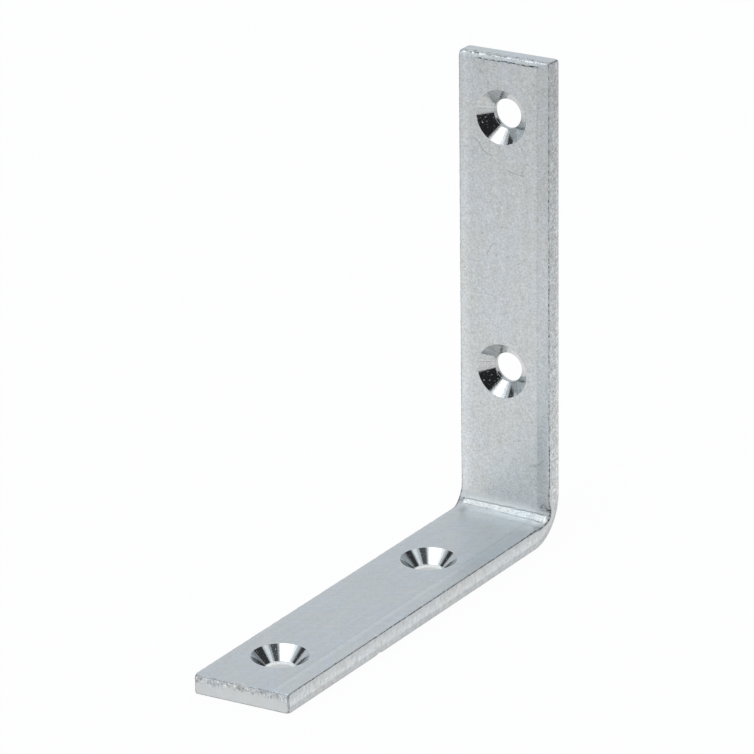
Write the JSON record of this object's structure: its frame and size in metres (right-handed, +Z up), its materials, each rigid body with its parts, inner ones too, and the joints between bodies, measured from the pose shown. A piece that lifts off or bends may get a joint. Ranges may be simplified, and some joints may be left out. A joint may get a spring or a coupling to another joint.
{
  "type": "angle bracket",
  "caption": "Right-angle bracket bent from flat steel bar, with countersunk screw holes through both legs.",
  "frame": {"origin": "on the underside of the foot, below the middle of the bracket's width and depth", "axes": "+Z up along the upright, +Y towards the back face of the upright, +X across the bar; the foot runs towards -Y"},
  "size_m": [0.0212, 0.1006, 0.1002],
  "materials": {
    "zinc_plated_steel": "satin"
  },
  "bodies": {
    "root": {"angle_bracket": "zinc_plated_steel"}
  },
  "joints": []
}
